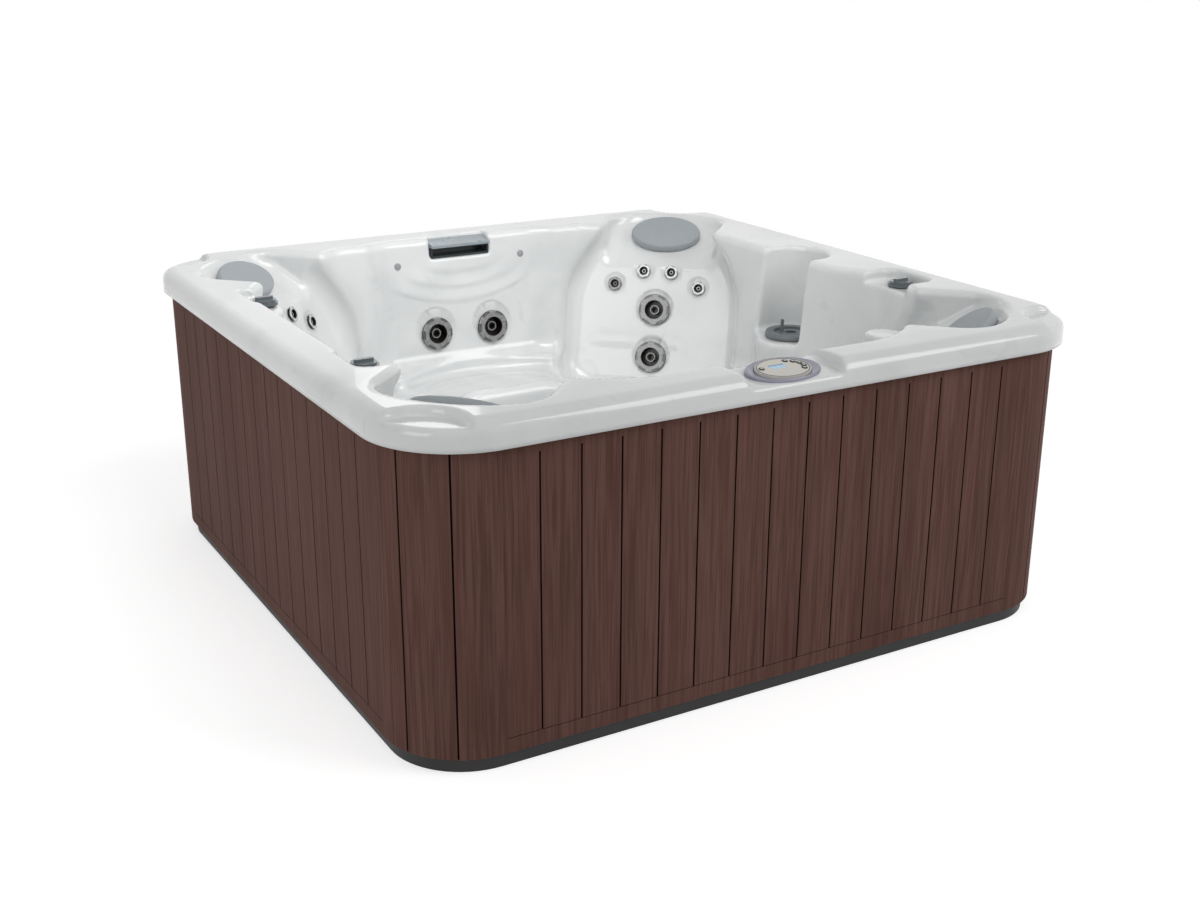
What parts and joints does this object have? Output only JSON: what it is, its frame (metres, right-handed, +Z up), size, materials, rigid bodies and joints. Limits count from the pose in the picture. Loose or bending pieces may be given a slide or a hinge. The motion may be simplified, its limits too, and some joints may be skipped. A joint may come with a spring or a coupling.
{
  "type": "hot_tub",
  "caption": "Square hot tub with a white acrylic shell, wood-grain slatted cabinet, corner seats with pillows, jets and a rim control panel",
  "frame": {"origin": "on the floor, under the middle of the base", "axes": "+Z up, -Y out of the side with the control panel, +X to its right"},
  "size_m": [2.13, 2.13, 0.9],
  "materials": {
    "acrylic": "gloss",
    "cabinet_board": "satin wood grain",
    "base_plastic": "matte",
    "frame_timber": "rough",
    "jet_plastic": "satin",
    "nozzle_plastic": "satin",
    "body_plastic": "matte",
    "knob_plastic": "satin",
    "filter_plastic": "satin",
    "cartridge_fabric": "pleated",
    "spout_plastic": "dark, see-through in part",
    "cap_plastic": "satin",
    "light_lens": "satin",
    "bezel_plastic": "satin",
    "panel_plastic": "satin",
    "display_glass": "gloss",
    "button_plastic": "satin",
    "pillow_foam": "soft, closed skin",
    "pump_plastic": "matte",
    "motor_paint": "satin",
    "steel": "brushed",
    "pipe_plastic": "gloss",
    "box_plastic": "matte"
  },
  "bodies": {
    "tub": {"accent_lights": "light_lens", "acrylic_shell": "acrylic", "base_pan": "base_plastic", "cabinet_panel_back": "cabinet_board", "cabinet_panel_front": "cabinet_board", "cabinet_panel_left": "cabinet_board", "cabinet_panel_right": "cabinet_board", "control_bezel": "bezel_plastic", "control_unit": "panel_plastic", "corner_panel_back_left": "cabinet_board", "corner_panel_back_right": "cabinet_board", "corner_panel_front_left": "cabinet_board", "corner_panel_front_right": "cabinet_board", "display_window": "display_glass", "equipment_box": "box_plastic", "filter_canister": "filter_plastic", "filter_cartridge": "cartridge_fabric", "footwell_fittings": "filter_plastic", "frame_posts": "frame_timber", "frame_rails": "frame_timber", "heater_tube": "steel", "large_jet_bodies": "body_plastic", "main_pipes": "pipe_plastic", "pillow_back_left": "pillow_foam", "pillow_back_right": "pillow_foam", "pillow_front_left": "pillow_foam", "pillow_front_right": "pillow_foam", "pump_motor": "motor_paint", "pump_wet_end": "pump_plastic", "small_jet_bodies": "body_plastic", "valve_bodies": "body_plastic", "waterfall_cap": "cap_plastic", "waterfall_spout": "spout_plastic"},
    "jet_ring_middle_left": {"jet_ring_middle_left": "jet_plastic"},
    "jet_ring_middle_right": {"jet_ring_middle_right": "jet_plastic"},
    "jet_ring_left_upper": {"jet_ring_left_upper": "jet_plastic"},
    "jet_ring_left_lower": {"jet_ring_left_lower": "jet_plastic"},
    "jet_ring_right_upper": {"jet_ring_right_upper": "jet_plastic"},
    "jet_ring_right_lower": {"jet_ring_right_lower": "jet_plastic"},
    "jet_nozzle_middle_left": {"jet_nozzle_middle_left": "nozzle_plastic"},
    "jet_nozzle_middle_right": {"jet_nozzle_middle_right": "nozzle_plastic"},
    "small_jet_left_neck_one": {"small_jet_left_neck_one": "jet_plastic"},
    "small_jet_left_neck_two": {"small_jet_left_neck_two": "jet_plastic"},
    "small_jet_left_shoulder_one": {"small_jet_left_shoulder_one": "jet_plastic"},
    "small_jet_left_shoulder_two": {"small_jet_left_shoulder_two": "jet_plastic"},
    "small_jet_right_neck_one": {"small_jet_right_neck_one": "jet_plastic"},
    "small_jet_right_neck_two": {"small_jet_right_neck_two": "jet_plastic"},
    "small_jet_right_shoulder_one": {"small_jet_right_shoulder_one": "jet_plastic"},
    "small_jet_right_shoulder_two": {"small_jet_right_shoulder_two": "jet_plastic"},
    "knob_right": {"knob_right": "knob_plastic"},
    "knob_left_back": {"knob_left_back": "knob_plastic"},
    "knob_left_front": {"knob_left_front": "knob_plastic"},
    "pump_rotor": {"pump_rotor": "steel"},
    "filter_lid": {"filter_lid": "filter_plastic"},
    "button_jets_one": {"button_jets_one": "button_plastic"},
    "button_jets_two": {"button_jets_two": "button_plastic"},
    "button_light": {"button_light": "button_plastic"},
    "button_menu": {"button_menu": "button_plastic"},
    "button_up": {"button_up": "button_plastic"},
    "button_down": {"button_down": "button_plastic"}
  },
  "joints": [
    {"name": "jet_ring_middle_left_turn", "type": "hinge", "parent": "tub", "child": "jet_ring_middle_left", "pos_m": [-0.11, 0.8798, 0.562], "axis": [0, -0.9962, 0.0872], "range_deg": [0, 100]},
    {"name": "jet_ring_middle_right_turn", "type": "hinge", "parent": "tub", "child": "jet_ring_middle_right", "pos_m": [0.11, 0.8798, 0.562], "axis": [0, -0.9962, 0.0872], "range_deg": [0, 100]},
    {"name": "jet_ring_left_upper_turn", "type": "hinge", "parent": "tub", "child": "jet_ring_left_upper", "pos_m": [-0.6873, 0.6873, 0.593], "axis": [0.6725, -0.6725, 0.309], "range_deg": [0, 100]},
    {"name": "jet_ring_left_lower_turn", "type": "hinge", "parent": "tub", "child": "jet_ring_left_lower", "pos_m": [-0.64894, 0.64894, 0.426], "axis": [0.6725, -0.6725, 0.309], "range_deg": [0, 100]},
    {"name": "jet_ring_right_upper_turn", "type": "hinge", "parent": "tub", "child": "jet_ring_right_upper", "pos_m": [0.6873, 0.6873, 0.593], "axis": [-0.6725, -0.6725, 0.309], "range_deg": [0, 100]},
    {"name": "jet_ring_right_lower_turn", "type": "hinge", "parent": "tub", "child": "jet_ring_right_lower", "pos_m": [0.64894, 0.64894, 0.426], "axis": [-0.6725, -0.6725, 0.309], "range_deg": [0, 100]},
    {"name": "jet_nozzle_middle_left_turn", "type": "hinge", "parent": "jet_ring_middle_left", "child": "jet_nozzle_middle_left", "pos_m": [-0.11, 0.8798, 0.562], "axis": [0, -0.9962, 0.0872], "continuous": true},
    {"name": "jet_nozzle_middle_right_turn", "type": "hinge", "parent": "jet_ring_middle_right", "child": "jet_nozzle_middle_right", "pos_m": [0.11, 0.8798, 0.562], "axis": [0, -0.9962, 0.0872], "continuous": true},
    {"name": "small_jet_left_neck_one_turn", "type": "hinge", "parent": "tub", "child": "small_jet_left_neck_one", "pos_m": [-0.68132, 0.75486, 0.727], "axis": [0.6725, -0.6725, 0.309], "range_deg": [0, 100]},
    {"name": "small_jet_left_neck_two_turn", "type": "hinge", "parent": "tub", "child": "small_jet_left_neck_two", "pos_m": [-0.75486, 0.68132, 0.727], "axis": [0.6725, -0.6725, 0.309], "range_deg": [0, 100]},
    {"name": "small_jet_left_shoulder_one_turn", "type": "hinge", "parent": "tub", "child": "small_jet_left_shoulder_one", "pos_m": [-0.59488, 0.81833, 0.677], "axis": [0.6725, -0.6725, 0.309], "range_deg": [0, 100]},
    {"name": "small_jet_left_shoulder_two_turn", "type": "hinge", "parent": "tub", "child": "small_jet_left_shoulder_two", "pos_m": [-0.81833, 0.59488, 0.677], "axis": [0.6725, -0.6725, 0.309], "range_deg": [0, 100]},
    {"name": "small_jet_right_neck_one_turn", "type": "hinge", "parent": "tub", "child": "small_jet_right_neck_one", "pos_m": [0.75486, 0.68132, 0.727], "axis": [-0.6725, -0.6725, 0.309], "range_deg": [0, 100]},
    {"name": "small_jet_right_neck_two_turn", "type": "hinge", "parent": "tub", "child": "small_jet_right_neck_two", "pos_m": [0.68132, 0.75486, 0.727], "axis": [-0.6725, -0.6725, 0.309], "range_deg": [0, 100]},
    {"name": "small_jet_right_shoulder_one_turn", "type": "hinge", "parent": "tub", "child": "small_jet_right_shoulder_one", "pos_m": [0.81833, 0.59488, 0.677], "axis": [-0.6725, -0.6725, 0.309], "range_deg": [0, 100]},
    {"name": "small_jet_right_shoulder_two_turn", "type": "hinge", "parent": "tub", "child": "small_jet_right_shoulder_two", "pos_m": [0.59488, 0.81833, 0.677], "axis": [-0.6725, -0.6725, 0.309], "range_deg": [0, 100]},
    {"name": "knob_right_turn", "type": "hinge", "parent": "tub", "child": "knob_right", "pos_m": [0.93, -0.37, 0.864], "axis": [0, 0, 1], "range_deg": [0, 180]},
    {"name": "knob_left_back_turn", "type": "hinge", "parent": "tub", "child": "knob_left_back", "pos_m": [-0.893, 0.365, 0.864], "axis": [0, 0, 1], "range_deg": [0, 180]},
    {"name": "knob_left_front_turn", "type": "hinge", "parent": "tub", "child": "knob_left_front", "pos_m": [-0.893, -0.42, 0.864], "axis": [0, 0, 1], "range_deg": [0, 180]},
    {"name": "pump_rotor_turn", "type": "hinge", "parent": "tub", "child": "pump_rotor", "pos_m": [-0.04, -0.745, 0.151], "axis": [1, 0, 0], "continuous": true},
    {"name": "filter_lid_slide", "type": "slide", "parent": "tub", "child": "filter_lid", "axis": [0, 0, 1], "range_m": [0, 0.25]},
    {"name": "button_jets_one_slide", "type": "slide", "parent": "tub", "child": "button_jets_one", "axis": [0, 0.1564, -0.9877], "range_m": [0, 0.001], "stiffness_N_per_m": 800},
    {"name": "button_jets_two_slide", "type": "slide", "parent": "tub", "child": "button_jets_two", "axis": [0, 0.1564, -0.9877], "range_m": [0, 0.001], "stiffness_N_per_m": 800},
    {"name": "button_light_slide", "type": "slide", "parent": "tub", "child": "button_light", "axis": [0, 0.1564, -0.9877], "range_m": [0, 0.001], "stiffness_N_per_m": 800},
    {"name": "button_menu_slide", "type": "slide", "parent": "tub", "child": "button_menu", "axis": [0, 0.1564, -0.9877], "range_m": [0, 0.001], "stiffness_N_per_m": 800},
    {"name": "button_up_slide", "type": "slide", "parent": "tub", "child": "button_up", "axis": [0, 0.1564, -0.9877], "range_m": [0, 0.001], "stiffness_N_per_m": 800},
    {"name": "button_down_slide", "type": "slide", "parent": "tub", "child": "button_down", "axis": [0, 0.1564, -0.9877], "range_m": [0, 0.001], "stiffness_N_per_m": 800}
  ]
}
